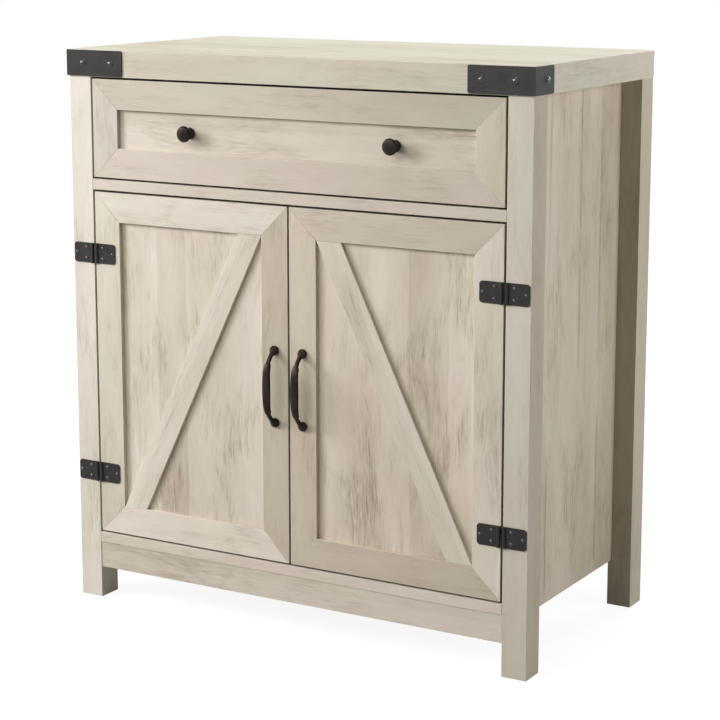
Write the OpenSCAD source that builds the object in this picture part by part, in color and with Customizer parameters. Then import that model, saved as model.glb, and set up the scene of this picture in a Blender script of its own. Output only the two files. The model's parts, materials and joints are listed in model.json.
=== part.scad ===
// Farmhouse sideboard buffet: one drawer over a two-door cupboard, on four square legs.
// Millimetres, +Z up.  The origin is on the floor, midway across the width and midway
// between the front of the door pulls and the back of the cabinet.

/* [Cabinet] */
// Overall width across the top
cab_w = 762; // [660:2:900]
// Depth from the front face of the doors to the back of the legs
cab_d = 400; // [380:2:480]
// Overall height
cab_h = 838; // [780:2:900]
// Thickness of the top
top_t = 40; // [32:1:50]
// How far the top stands past the legs at the front and sides
top_over = 1; // [0:0.5:6]
// Thickness of the carcass boards
board_t = 16; // [14:0.5:19]
// Width of a leg across the front
leg_w = 38; // [36:1:60]
// Depth of a leg from front to back
leg_d = 40; // [36:1:60]
// How much of a side panel's thickness stands between the legs; the rest laps inside them
side_between = 6; // [3:0.5:9]
// Clear height under the front apron
foot_clear = 48; // [30:1:80]
// Height of the front apron
apron_h = 40; // [25:1:60]
// How far the apron lies behind the front face
apron_set = 1; // [0:0.5:3]
// Height of the side panels above the floor
side_clear = 70; // [40:1:80]
// Height of the drawer opening
drawer_open_h = 151; // [135:1:190]
// Gap all round the doors and the drawer front
gap = 3; // [2:0.5:4]
// Thickness of the back panel
back_t = 4; // [3:0.5:6]
// How far the back panel lies in front of the back of the legs
back_set = 10; // [6:1:14]
// Height of the rail under the back of the top
back_rail_h = 60; // [40:1:80]

/* [Door and drawer fronts] */
// Thickness of the mitred frames
front_t = 16; // [15:0.5:18]
// Width of the mitred frame members
frame_w = 44; // [44:0.5:52]
// How far the panels lie behind the face of the frames
recess = 6.5; // [5:0.5:8]
// Thickness of the panels in the frames
panel_t = 5; // [4:0.5:6]
// How deep the panels sit in the grooves of the frames
groove_d = 5; // [3:0.5:5.5]
// Width of the diagonal brace, measured along the rails
brace_w = 40; // [30:1:60]
// How far the face of the brace lies behind the face of the frame
brace_set = 0.8; // [0.3:0.1:3]

/* [Shelf] */
// Height of the middle of the shelf above the middle of the doors
shelf_off = 0; // [-30:1:30]
// How far the front of the shelf lies behind the front face
shelf_set = 48; // [46:1:120]
// Spacing of the shelf pin holes
shelf_pitch = 32; // [24:1:40]
// Radius of a shelf pin
shelf_pin_r = 2.5; // [2:0.25:3]

/* [Drawer box] */
// Thickness of the drawer sides and ends
box_t = 12; // [10:0.5:16]
// Height of the drawer sides
box_h = 100; // [80:1:110]
// Clear space between the drawer box and the back rail
box_back_gap = 24; // [6:1:60]
// Height of the box above the bottom of the drawer front
box_lift = 8; // [6:1:20]
// Thickness of the drawer bottom
drawer_bottom_t = 4; // [3:0.5:6]
// Height of the drawer bottom above the bottom edge of the sides
drawer_bottom_lift = 10; // [6:1:16]

/* [Drawer runners] */
// How much shorter the runners are than the drawer box
runner_short = 20; // [18:1:60]
// How far the drawer pulls out
drawer_travel = 280; // [200:5:290]
// Height of a cabinet member
runner_h = 35; // [33:1:45]
// Sheet thickness of the runner members
runner_sheet = 1.2; // [1:0.1:1.4]
// Length of a ball cage
cage_len = 110; // [60:5:120]

/* [Concealed hinges] */
// Distance of the hinge pin from the edge of the door
pin_in = 21; // [19.5:0.5:21.5]
// Depth of the hinge pin behind the face of the door
pin_back = 8; // [7:0.25:8.5]
// Radius of the hinge pin
pin_r = 1.6; // [1.2:0.1:1.8]
// Radius of the hinge cup
cup_r = 17.4; // [16:0.1:17.8]
// Distance of each concealed hinge above or below the middle of the door
hinge_off = 120; // [90:1:140]
// Thickness of the hinge arm
arm_t = 2.5; // [1.5:0.1:3]
// Width of the hinge arm
arm_w = 12; // [8:0.5:16]

/* [Metal trim] */
// Width of a hinge leaf
leaf_w = 36; // [28:0.5:38]
// Height of a hinge leaf
leaf_h = 30; // [24:0.5:44]
// Thickness of a hinge leaf
leaf_t = 1.5; // [1:0.1:2]
// Radius of the rolled edge of a hinge leaf
leaf_roll_r = 2.7; // [2:0.1:3]
// Distance of each hinge leaf above or below the middle of the door
leaf_off = 168; // [160:1:200]
// Length of the corner brackets along the front
bracket_front = 98; // [70:1:140]
// Length of the corner brackets along the sides
bracket_side = 53; // [40:1:90]
// How far the corner brackets stop short of the edges of the top
bracket_edge = 1; // [0.5:0.5:8]
// Thickness of the corner brackets
bracket_t = 2; // [1:0.25:3]

/* [Pulls and knobs] */
// Distance between the feet of a door pull
pull_span = 106; // [90:1:140]
// How far a door pull stands out from the face of the door
pull_out = 27; // [22:0.5:40]
// Height of the middle of the pulls above the middle of the doors
pull_off = 0; // [-60:1:60]
// Radius of the head of a drawer knob
knob_r = 11.7; // [9:0.1:16]
// How far a drawer knob stands out from the drawer panel
knob_out = 20.5; // [18:0.5:30]

/* [Hidden] */
$fn = 48;

// Colours
oak_light = [0.84, 0.81, 0.70];
oak = [0.78, 0.73, 0.63];
oak_side = [0.72, 0.67, 0.58];
inside_oak = [0.76, 0.71, 0.61];
hardboard = [0.62, 0.53, 0.42];
iron = [0.22, 0.21, 0.20];
bronze = [0.12, 0.10, 0.09];
zinc = [0.72, 0.73, 0.74];
nylon = [0.88, 0.87, 0.83];
beech = [0.80, 0.66, 0.48];

// Clearances
slip = 0.1;                // round a fastener in its hole
pin_slip = 0.06;           // round a hinge pin in its arm
seat = 0.3;                // between faces that close on each other
eps = 1;                   // how far a cutter runs past a face

// Planes.  Y is measured back from the front face of the doors until at_front() places it.
front_y = (pull_out - cab_d) / 2;
half_w = cab_w / 2;
leg_x1 = half_w - top_over;
leg_x0 = leg_x1 - leg_w;
side_x1 = leg_x0 + side_between;
side_x0 = side_x1 - board_t;
back_y0 = cab_d - back_set - back_t;
top_z0 = cab_h - top_t;
bottom_z0 = foot_clear + apron_h;
bottom_z1 = bottom_z0 + board_t;
divider_z1 = top_z0 - drawer_open_h;
divider_z0 = divider_z1 - board_t;

// Doors and drawer front
door_w = leg_x0 - gap * 1.5;
door_z0 = bottom_z1 + gap;
door_h = divider_z0 - door_z0 - gap;
door_mid = door_h / 2;
drawer_w = 2 * (leg_x0 - gap);
drawer_z0 = divider_z1 + gap;
drawer_h = drawer_open_h - 2 * gap;
groove_slip = 0.1;                            // on each face of a panel in its groove
groove_slack = 0.5;                           // between a panel's edge and its groove's bottom

// Hinges: the hinge edge of the door sweeps a circle of sweep_r about the pin
sweep_r = norm([pin_in, max(pin_back, front_t - pin_back)]);
lap_x = leg_x0 - side_x0;                     // how far the side panel laps inside the leg
pin_to_side = gap + pin_in - lap_x;           // from the pin out to the side panel
lap_clear = 2.4;
lap_y0 = pin_back + sqrt(max(0, sweep_r * sweep_r - pin_to_side * pin_to_side)) + lap_clear;
knuckle_r = pin_r + 1.6;
cup_wall = 1;
cup_floor_t = 0.8;
cup_depth = front_t - pin_back + knuckle_r + seat + cup_floor_t;
cup_pocket_h = arm_w + 2;
cup_flange_t = 1.2;
cup_screw_dx = 9.5;
cup_screw_dz = 22.5;
arm_angle = 40;
arm_clear = 2.5;
plate_t = 6;
plate_len = 50;
plate_foot_t = 2;
plate_screw_dz = 16;
elbow_r = sweep_r + arm_t / 2 + arm_clear;
elbow = elbow_r * [cos(arm_angle), sin(arm_angle)];
arm_run = 18.5;                               // from the elbow past the edge of the door
turn = elbow + arm_run * [-sin(arm_angle), cos(arm_angle)];
arm_wall_x = plate_t + arm_t / 2 - pin_to_side;
arm_slope = 0.3;                              // of the short stretch back to the side panel
arm_wall = [arm_wall_x, turn[1] + arm_slope * (turn[0] - arm_wall_x)];
plate_y0 = pin_back + arm_wall[1] + 2;        // front end of the mounting plate
plate_mid_y = plate_y0 + plate_len * 0.35;    // its cross foot, with the two wood screws
arm_screw_y = plate_y0 + plate_len * 0.75;
arm_end = [arm_wall_x, plate_y0 + plate_len - 4 - pin_back];

// Drawer runners
box_len = back_y0 - board_t - box_back_gap - front_t;
runner_len = box_len - runner_short;
runner_t = 12.7;                              // across all three members
runner_y0 = front_t + 17;
runner_z = drawer_z0 + box_lift + box_h / 2;
cage_margin = 16;                             // ahead of a cage when the drawer is right out
cage_y0 = runner_y0 + drawer_travel / 4 + cage_margin;
stage_gap = 3.6;                              // ball space between cabinet and middle member
inner_gap = 3.2;                              // ball space between middle and drawer member
// Where the members and cages lie across the runner, from the side panel inward
cabinet_lip_x = 9.4;
middle_x = [3, 11];
drawer_lip_x = 5.5;
outer_cage_x = 1.8;
outer_ball_x = 6.2;
inner_cage_x = 4.5;
inner_ball_x = 8;
outer_half = runner_h / 2;
mid_half = outer_half - runner_sheet - stage_gap;
inner_half = mid_half - runner_sheet - inner_gap;

// Drawer box
box_x1 = side_x0 - runner_t;
box_x0 = box_x1 - box_t;
box_z0 = drawer_z0 + box_lift;
box_groove_d = 5;

// Shelf
shelf_z0 = door_z0 + door_mid + shelf_off - board_t / 2;
shelf_x1 = side_x0 - 1;
shelf_y1 = back_y0 - 2;
shelf_pin_ys = [shelf_set + 30, shelf_y1 - 40];
shelf_pin_depth = 9;
shelf_pin_out = 9;
spoon_w = 9;                                  // flat end of a shelf pin
spoon_t = 1.5;

// Metal trim
bracket_corner_r = 3.5;
bracket_tack_r = 5.5;
bracket_tack_h = 3;
leaf_corner_r = 5;
leaf_tack_r = 3;
leaf_tack_h = 1.8;

// Fasteners
runner_screw_r = 1.5;
runner_screw_len = 12;
box_runner_screw_len = 9;
plate_screw_len = 12;
cup_screw_len = 10;
strike_screw_r = 1.2;
strike_screw_len = 9;
handle_screw_r = 2;
leg_bite = 18;                                // of a screw in a leg
box_bite = 16;                                // of a screw in the end of the drawer box
screw_end = 36;                               // from the end of a joint to its last screw
nail_r = 0.8;
nail_len = 16;
nail_head_r = 2.6;
nail_head_h = 0.8;
nail_in = 30;                                 // from the side panel to the nearest nail
nail_count = 6;                               // in each row
cam_in = 34;                                  // from the end of a board to its cam lock
cam_r = 7.5;
cam_h = 12.5;
cam_bolt_r = 3.5;
cam_bolt_in = 11;
dowel_r = 4;
dowel_half = 15;
apron_dowel_r = 3;
apron_dowel_half = 12;
screw_r = 1.8;
tack_pin_r = 1.1;
tack_pin_len = 8;
catch_h = 14;
catch_d = 15;
catch_w = 48;
strike_t = 1.2;
strike_in = 4;                                // from the meeting edge to the strike plate
leg_screw_zs = [bottom_z1 + screw_end, (side_clear + top_z0) / 2, top_z0 - screw_end];
cam_ys = [90, back_y0 - 76];
runner_screw_in = 25;
runner_screw_ys = [runner_y0 + runner_screw_in, runner_y0 + runner_len - runner_screw_in];
knob_x = drawer_w / 4;

// ---------------------------------------------------------------- helpers

module at_front() { translate([0, front_y, 0]) children(); }

module both_sides() {
  children();
  mirror([1, 0, 0]) children();
}

// Places door-sized shapes: x from the hinge edge to the meeting edge, z from the bottom edge
module on_left() { translate([gap - leg_x0, 0, door_z0]) children(); }

module on_right() { mirror([1, 0, 0]) on_left() children(); }

module box(a, b) { translate(a) cube(b - a); }

// Extrudes an outline drawn in X and Z back from the front by t
module prism_y(t) {
  translate([0, t, 0]) rotate([90, 0, 0]) linear_extrude(t) children();
}

// A rectangle rounded at its two corners far from the origin
module round_end(w, h, r) {
  square([w - r, h]);
  translate([0, r]) square([w, h - 2 * r]);
  for (z = [r, h - r]) translate([w - r, z]) circle(r);
}

// A screw along Z with its seat at 0, head up and point down
module pan_screw(len, r, grow = 0) {
  translate([0, 0, -len - grow]) cylinder(r = r + grow, h = len + grow + (grow > 0 ? eps : 0));
  if (grow == 0) difference() {
    cylinder(r1 = 2 * r, r2 = 1.5 * r, h = 1.1 * r);
    for (a = [0, 90]) rotate(a) translate([-r, -0.2 * r, 0.5 * r]) cube([2 * r, 0.4 * r, r]);
  }
}

// A flush screw along Z with its face at 0
module flush_screw(len, r, grow = 0) {
  translate([0, 0, -len - grow]) cylinder(r = r + grow, h = len + grow);
  translate([0, 0, -r]) cylinder(r1 = r + grow, r2 = 2 * r + grow, h = r);
  if (grow > 0) cylinder(r = 2 * r + grow, h = eps);
}

// A domed tack along Z: its plate's face is at 0 and its pin reaches below
module tack(r, h, grow = 0) {
  dome_r = (r * r + h * h) / (2 * h);
  translate([0, 0, -tack_pin_len - grow])
    cylinder(r = tack_pin_r + grow, h = tack_pin_len + grow + (grow > 0 ? eps : 0));
  if (grow == 0) intersection() {
    translate([0, 0, h - dome_r]) sphere(dome_r);
    cylinder(r = r, h = h);
  }
}

// ---------------------------------------------------------------- fasteners

module bracket_tacks(grow = 0) {
  z = top_z0 + top_t / 2;
  both_sides() {
    for (x = [0.28, 0.79]) translate([half_w - x * bracket_front, -top_over - bracket_t, z])
      rotate([90, 0, 0]) tack(bracket_tack_r, bracket_tack_h, grow);
    translate([half_w + bracket_t, 0.62 * bracket_side, z]) rotate([0, 90, 0])
      tack(bracket_tack_r, bracket_tack_h, grow);
  }
}

// The three tacks of one hinge leaf; x runs away from the rolled edge
module leaf_tacks(grow = 0) {
  for (p = [[0.37, -0.27], [0.37, 0.27], [0.86, 0]])
    translate([p[0] * leaf_w, -leaf_t, p[1] * leaf_h]) rotate([90, 0, 0])
      tack(leaf_tack_r, leaf_tack_h, grow);
}

module leg_leaf_tacks(grow = 0) {
  both_sides() for (s = [-1, 1])
    translate([leg_x0, 0, door_z0 + door_mid + s * leaf_off]) leaf_tacks(grow);
}

module door_leaf_tacks(grow = 0) {
  for (s = [-1, 1]) translate([0, 0, door_mid + s * leaf_off]) leaf_tacks(grow);
}

module leg_screws(grow = 0) {
  rear_y = cab_d - leg_d + (leg_d - lap_y0) / 2;
  both_sides() for (y = [(lap_y0 + leg_d) / 2, rear_y], z = leg_screw_zs)
    translate([side_x0, y, z]) rotate([0, -90, 0]) flush_screw(lap_x + leg_bite, screw_r, grow);
}

// Heights of the concealed hinges
function hinge_zs() = [for (s = [-1, 1]) door_z0 + door_mid + s * hinge_off];

module plate_screws(grow = 0) {
  both_sides() for (z = hinge_zs(), t = [-1, 1])
    translate([side_x0 - plate_foot_t, plate_mid_y, z + t * plate_screw_dz])
      rotate([0, -90, 0]) pan_screw(plate_screw_len, screw_r, grow);
}

module arm_screws(grow = 0) {
  both_sides() for (z = hinge_zs())
    translate([side_x0 - plate_t - arm_t, arm_screw_y, z])
      rotate([0, -90, 0]) pan_screw(arm_t + plate_t - 1, screw_r, grow);
}

module runner_screws(grow = 0) {
  both_sides() for (y = runner_screw_ys)
    translate([side_x0 - runner_sheet, y, runner_z]) rotate([0, -90, 0])
      flush_screw(runner_screw_len, runner_screw_r, grow);
}

// Rows of nails through the back panel into the bottom, the divider and the back rail
module back_nails(grow = 0) {
  reach = side_x0 - nail_in;
  for (x = [-reach:2 * reach / (nail_count - 1):reach + eps],
       z = [bottom_z0 + board_t / 2, divider_z0 + board_t / 2, top_z0 - back_rail_h / 2])
    translate([x, back_y0 + back_t, z]) rotate([-90, 0, 0]) {
      translate([0, 0, -nail_len - grow])
        cylinder(r = nail_r + grow, h = nail_len + grow + (grow > 0 ? eps : 0));
      if (grow == 0) cylinder(r1 = nail_head_r, r2 = 0.8 * nail_head_r, h = nail_head_h);
    }
}

// Bolts between the side panels and a board whose underside is at z
module cam_bolts_at(z, grow = 0) {
  both_sides() for (y = cam_ys)
    translate([side_x0 - cam_in + cam_r + slip - grow, y, z + board_t / 2]) rotate([0, 90, 0])
      cylinder(r = cam_bolt_r + grow, h = cam_in - cam_r - slip + cam_bolt_in + 2 * grow);
}

module cam_locks_at(z, grow = 0) {
  both_sides() for (y = cam_ys)
    translate([side_x0 - cam_in, y, z - (grow > 0 ? eps : 0)])
      cylinder(r = cam_r + grow, h = cam_h + grow + (grow > 0 ? eps : 0));
}

module top_dowels(grow = 0) {
  h = 2 * (dowel_half + grow);
  both_sides() {
    for (y = [leg_d / 2, cab_d - leg_d / 2]) translate([(leg_x0 + leg_x1) / 2, y, top_z0 - h / 2])
      cylinder(r = dowel_r + grow, h = h);
    for (y = [cab_d * 0.3, cab_d * 0.7]) translate([(side_x0 + side_x1) / 2, y, top_z0 - h / 2])
      cylinder(r = dowel_r + grow, h = h);
  }
}

module apron_dowels(grow = 0) {
  both_sides() for (z = [0.3, 0.7])
    translate([leg_x0 - apron_dowel_half - grow, apron_set + board_t / 2, foot_clear + z * apron_h])
      rotate([0, 90, 0]) cylinder(r = apron_dowel_r + grow, h = 2 * (apron_dowel_half + grow));
}

module cup_screws(grow = 0) {
  for (s = [-1, 1], t = [-1, 1])
    translate([pin_in + cup_screw_dx, front_t + cup_flange_t, door_mid + s * hinge_off + t * cup_screw_dz])
      rotate([-90, 0, 0]) pan_screw(cup_screw_len, screw_r, grow);
}

module pull_screws(grow = 0) {
  for (s = [-1, 1])
    translate([door_w - frame_w / 2, front_t, door_mid + pull_off + s * pull_span / 2])
      rotate([-90, 0, 0]) pan_screw(front_t, handle_screw_r, grow);
}

module strike_screw(grow = 0) {
  translate([door_w - frame_w / 2 + 8, front_t + strike_t, door_h - catch_h / 2])
    rotate([-90, 0, 0]) flush_screw(strike_screw_len, strike_screw_r, grow);
}

// Screws through the drawer box front and the panel into the knobs
module knob_screws(grow = 0) {
  z = drawer_z0 + drawer_h / 2;
  for (s = [-1, 1]) translate([s * knob_x, front_t + box_t, z])
    rotate([-90, 0, 0]) pan_screw(front_t + box_t - recess, handle_screw_r, grow);
}

// Screws through the sides of the drawer box into its ends, and through the runners
module box_screws(grow = 0) {
  both_sides() {
    for (y = [front_t + box_t / 2, front_t + box_len - box_t / 2], s = [-1, 1])
      translate([box_x1, y, box_z0 + box_h / 2 + s * box_h * 0.3]) rotate([0, 90, 0])
        flush_screw(box_t + box_bite, screw_r, grow);
    for (y = runner_screw_ys) translate([box_x1 + runner_sheet, y, runner_z]) rotate([0, 90, 0])
      flush_screw(box_runner_screw_len, runner_screw_r, grow);
  }
}

// ---------------------------------------------------------------- carcass

module top_panel() {
  color(oak_light) at_front() difference() {
    box([-half_w, -top_over, top_z0], [half_w, cab_d, cab_h]);
    bracket_tacks(slip);
    top_dowels(slip);
  }
}

// The right-hand leg whose front face is at y
module leg(y) {
  difference() {
    box([leg_x0, y, 0], [leg_x1, y + leg_d, top_z0]);
    leg_screws(slip);
    top_dowels(slip);
    apron_dowels(slip);
    leg_leaf_tacks(slip);
    back_groove();
  }
}

// Groove in the rear legs for the back panel
module back_groove() {
  box([leg_x0 - eps, back_y0 - slip, bottom_z0],
      [leg_x0 + groove_d, back_y0 + back_t + slip, top_z0 + eps]);
}

module front_right_leg() { color(oak) at_front() leg(0); }
module front_left_leg() { color(oak) at_front() mirror([1, 0, 0]) leg(0); }
module rear_right_leg() { color(oak) at_front() leg(cab_d - leg_d); }
module rear_left_leg() { color(oak) at_front() mirror([1, 0, 0]) leg(cab_d - leg_d); }

// The right-hand side panel: rebated at both ends, so that it laps inside the legs
module side_panel() {
  difference() {
    union() {
      box([side_x0, lap_y0, side_clear], [leg_x0, cab_d - lap_y0, top_z0]);
      box([leg_x0, leg_d, side_clear], [side_x1, cab_d - leg_d, top_z0]);
    }
    leg_screws(slip);
    plate_screws(slip);
    runner_screws(slip);
    cam_bolts_at(bottom_z0, slip);
    cam_bolts_at(divider_z0, slip);
    top_dowels(slip);
    shelf_pin_holes();
  }
}

module right_side_panel() { color(oak_side) at_front() side_panel(); }
module left_side_panel() { color(oak_side) at_front() mirror([1, 0, 0]) side_panel(); }

// A full-depth board between the side panels, with ears that run out to the legs
module carcass_board(z) {
  difference() {
    union() {
      box([-side_x0, 0, z], [side_x0, back_y0, z + board_t]);
      box([-leg_x0, 0, z], [leg_x0, lap_y0, z + board_t]);
      box([-leg_x0, cab_d - lap_y0, z], [leg_x0, back_y0, z + board_t]);
    }
    cam_bolts_at(z, slip);
    cam_locks_at(z, slip);
    back_nails(slip);
  }
}

module bottom_panel() { color(oak) at_front() carcass_board(bottom_z0); }
module divider_panel() { color(oak) at_front() carcass_board(divider_z0); }

module front_apron() {
  color(oak) at_front() difference() {
    box([-leg_x0, apron_set, foot_clear], [leg_x0, apron_set + board_t, bottom_z0]);
    apron_dowels(slip);
  }
}

module back_rail() {
  color(inside_oak) at_front() difference() {
    box([-side_x0, back_y0 - board_t, top_z0 - back_rail_h], [side_x0, back_y0, top_z0]);
    back_nails(slip);
  }
}

module back_panel() {
  half = leg_x0 + groove_d - groove_slack;
  color(hardboard) at_front() difference() {
    box([-half, back_y0, bottom_z0], [half, back_y0 + back_t, top_z0]);
    back_nails(slip);
  }
}

module back_panel_nails() { color(zinc) at_front() back_nails(); }

module shelf() {
  color(inside_oak) at_front()
    box([-shelf_x1, shelf_set, shelf_z0], [shelf_x1, shelf_y1, shelf_z0 + board_t]);
}

module shelf_pin_holes() {
  for (y = shelf_pin_ys, n = [-1, 0, 1])
    translate([side_x0 - eps, y, shelf_z0 - shelf_pin_r + n * shelf_pitch]) rotate([0, 90, 0])
      cylinder(r = shelf_pin_r + slip, h = shelf_pin_depth + eps + slip);
}

// Pins with a flat spoon under the shelf
module shelf_pins() {
  color(zinc) at_front() both_sides() for (y = shelf_pin_ys) {
    translate([side_x0 + shelf_pin_depth, y, shelf_z0 - shelf_pin_r]) rotate([0, -90, 0])
      cylinder(r = shelf_pin_r, h = shelf_pin_depth + shelf_pin_out);
    box([side_x0 - shelf_pin_out, y - spoon_w / 2, shelf_z0 - spoon_t],
        [side_x0, y + spoon_w / 2, shelf_z0]);
  }
}

// ---------------------------------------------------------------- metal trim

module corner_brackets() {
  r = bracket_corner_r;
  z = top_z0 + bracket_edge;
  bracket_h = top_t - 2 * bracket_edge;
  color(iron) at_front() both_sides() difference() {
    union() {
      translate([half_w + bracket_t, -top_over - bracket_t, z]) mirror([1, 0, 0])
        prism_y(bracket_t) round_end(bracket_front + bracket_t, bracket_h, r);
      translate([half_w, -top_over - bracket_t, z]) rotate([90, 0, 90]) linear_extrude(bracket_t)
        round_end(bracket_side + top_over + bracket_t, bracket_h, r);
    }
    bracket_tacks(slip);
  }
}

// One decorative hinge leaf with its rolled edge at x = 0
module hinge_leaf() {
  roll = leaf_roll_r;
  difference() {
    union() {
      translate([0, -leaf_t, -leaf_h / 2]) prism_y(leaf_t)
        round_end(leaf_w, leaf_h, leaf_corner_r);
      translate([0, 0, -leaf_h / 2]) linear_extrude(leaf_h) intersection() {
        translate([roll, -leaf_t]) circle(roll);
        translate([0, -leaf_t - 2 * roll]) square([2 * roll, leaf_t + 2 * roll]);
      }
    }
    leaf_tacks(slip);
  }
}

module door_leaves() {
  for (s = [-1, 1]) translate([0, 0, door_mid + s * leaf_off]) hinge_leaf();
}

module leg_hinge_leaves() {
  color(iron) at_front() both_sides() for (s = [-1, 1])
    translate([leg_x0, 0, door_z0 + door_mid + s * leaf_off]) hinge_leaf();
}

module carcass_tacks() {
  color(iron) at_front() {
    bracket_tacks();
    leg_leaf_tacks();
  }
}

// ---------------------------------------------------------------- concealed hinges

// Joins two points of a bent strip in plan
module strip(p, q, t) {
  d = q - p;
  translate(p) rotate(atan2(d[1], d[0])) translate([0, -t / 2]) square([norm(d), t]);
  translate(q) circle(t / 2);
}

// The bent arm in plan about its pin: out of the cup, round the door's edge and back along
// the side panel
module hinge_arm() {
  path = [[0, 0], elbow, turn, arm_wall, arm_end];
  translate([0, 0, -arm_w / 2]) linear_extrude(arm_w) difference() {
    union() {
      circle(knuckle_r);
      for (i = [0:len(path) - 2]) strip(path[i], path[i + 1], arm_t);
    }
    circle(pin_r + pin_slip);
  }
}

module at_hinges() {
  for (s = [-1, 1]) translate([pin_in, pin_back, door_mid + s * hinge_off]) children();
}

module hinge_arms() {
  color(zinc) at_front() difference() {
    both_sides() on_left() at_hinges() hinge_arm();
    arm_screws(slip);
  }
}

module hinge_mounting_plates() {
  foot_h = 2 * plate_screw_dz + 12;
  foot_len = 14;
  color(zinc) at_front() difference() {
    both_sides() for (z = hinge_zs()) translate([0, 0, z]) {
      box([side_x0 - plate_t, plate_y0, -arm_w / 2 - 2],
          [side_x0, plate_y0 + plate_len, arm_w / 2 + 2]);
      box([side_x0 - plate_foot_t, plate_mid_y - foot_len / 2, -foot_h / 2],
          [side_x0, plate_mid_y + foot_len / 2, foot_h / 2]);
    }
    plate_screws(slip);
    arm_screws(slip);
  }
}

// A hinge cup seen along the depth of the door, at the pin's place in plan
module hinge_cup() {
  mouth_y = front_t - pin_back;
  flange_over = 1.6;
  wing_w = 5;
  wing_h = cup_screw_dz + 6;
  difference() {
    union() {
      translate([0, mouth_y, 0]) rotate([90, 0, 0]) cylinder(r = cup_r, h = cup_depth);
      translate([0, mouth_y + cup_flange_t, 0]) rotate([90, 0, 0])
        cylinder(r = cup_r + flange_over, h = cup_flange_t);
      box([cup_screw_dx - wing_w, mouth_y, -wing_h],
          [cup_screw_dx + wing_w, mouth_y + cup_flange_t, wing_h]);
    }
    intersection() {
      translate([0, mouth_y + 2 * eps, 0]) rotate([90, 0, 0])
        cylinder(r = cup_r - cup_wall, h = cup_depth - cup_floor_t + 2 * eps);
      box([-cup_r, mouth_y - cup_depth, -cup_pocket_h / 2],
          [cup_r, mouth_y + 3 * eps, cup_pocket_h / 2]);
    }
    translate([0, 0, -cup_r - eps]) cylinder(r = pin_r, h = 2 * (cup_r + eps));
  }
}

module hinge_cups() {
  difference() {
    at_hinges() hinge_cup();
    cup_screws(slip);
  }
}

module hinge_pins() {
  half = cup_r - cup_wall;
  at_hinges() translate([0, 0, -half]) cylinder(r = pin_r, h = 2 * half);
}

module magnetic_catch() {
  color(nylon) at_front()
    box([-catch_w / 2, front_t + strike_t + seat, divider_z0 - catch_h],
        [catch_w / 2, front_t + strike_t + seat + catch_d, divider_z0]);
}

// ---------------------------------------------------------------- screws, cams and dowels

module carcass_screws() {
  color(zinc) at_front() {
    leg_screws();
    plate_screws();
    arm_screws();
    runner_screws();
  }
}

module cam_bolts() {
  color(zinc) at_front() {
    cam_bolts_at(bottom_z0);
    cam_bolts_at(divider_z0);
  }
}

module cam_locks() {
  color(zinc) at_front() {
    cam_locks_at(bottom_z0);
    cam_locks_at(divider_z0);
  }
}

module dowels() {
  color(beech) at_front() {
    top_dowels();
    apron_dowels();
  }
}

// ---------------------------------------------------------------- drawer runners

// Places a runner section: x inward from the side panel, y back, z about the runner's middle
module on_side(y0) {
  translate([side_x0, y0, runner_z]) mirror([1, 0, 0]) children();
}

// A C section whose web spans from z = -h to h, with flanges from x0 to x1
module channel(web_x, x0, x1, h, length) {
  s = runner_sheet;
  prism_y(length) {
    translate([web_x, -h]) square([s, 2 * h]);
    for (z = [-h, h - s]) translate([x0, z]) square([x1 - x0, s]);
  }
}

module cabinet_runners() {
  lip = 0.8;
  color(zinc) at_front() difference() {
    both_sides() on_side(runner_y0) {
      channel(0, 0, cabinet_lip_x, outer_half, runner_len);
      for (z = [-outer_half, outer_half - runner_sheet - lip])
        translate([cabinet_lip_x - lip, 0, z]) cube([lip, runner_len, runner_sheet + lip]);
    }
    runner_screws(slip);
  }
}

module middle_runners() {
  color(zinc) at_front() both_sides() on_side(runner_y0)
    channel(middle_x[0], middle_x[0], middle_x[1], mid_half, runner_len);
}

module drawer_runners() {
  web = runner_t - runner_sheet;
  color(zinc) at_front() difference() {
    both_sides() on_side(runner_y0) channel(web, drawer_lip_x, runner_t, inner_half, runner_len);
    box_screws(slip);
  }
}

// A ball cage between two members: web at web_x, balls of radius r at ball_x, z = +-row
module ball_cage(web_x, ball_x, row, r) {
  sheet = 0.6;
  land = 0.5;                                 // of the cage, beyond its balls
  pitch = 4 * r;
  count = floor((cage_len - pitch) / pitch);
  ys = [for (i = [0:count]) pitch / 2 + i * pitch];
  difference() {
    prism_y(cage_len) {
      translate([web_x, -row]) square([sheet, 2 * row]);
      for (s = [-1, 1]) translate([web_x, s * row - sheet / 2])
        square([ball_x + r + land - web_x, sheet]);
    }
    for (y = ys) translate([ball_x, y, -row - eps]) cylinder(r = r, h = 2 * (row + eps));
  }
  for (y = ys, s = [-1, 1]) translate([ball_x, y, s * row]) sphere(r - slip / 2);
}

module outer_ball_cages() {
  color(zinc) at_front() both_sides() on_side(cage_y0)
    ball_cage(outer_cage_x, outer_ball_x, mid_half + stage_gap / 2, (stage_gap - slip) / 2);
}

module inner_ball_cages() {
  color(zinc) at_front() both_sides() on_side(cage_y0)
    ball_cage(inner_cage_x, inner_ball_x, inner_half + inner_gap / 2, (inner_gap - slip) / 2);
}

// ---------------------------------------------------------------- framed fronts

// The groove that holds a panel, round a front of w by h
module panel_groove(w, h) {
  g = frame_w - groove_d;
  box([g, recess - groove_slip, g], [w - g, recess + panel_t + groove_slip, h - g]);
}

module frame_stiles(w, h) {
  f = frame_w;
  difference() {
    prism_y(front_t) {
      polygon([[0, 0], [f, f], [f, h - f], [0, h]]);
      polygon([[w, 0], [w, h], [w - f, h - f], [w - f, f]]);
    }
    panel_groove(w, h);
  }
}

module frame_rails(w, h) {
  f = frame_w;
  difference() {
    prism_y(front_t) {
      polygon([[0, 0], [w, 0], [w - f, f], [f, f]]);
      polygon([[0, h], [f, h - f], [w - f, h - f], [w, h]]);
    }
    panel_groove(w, h);
  }
}

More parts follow.
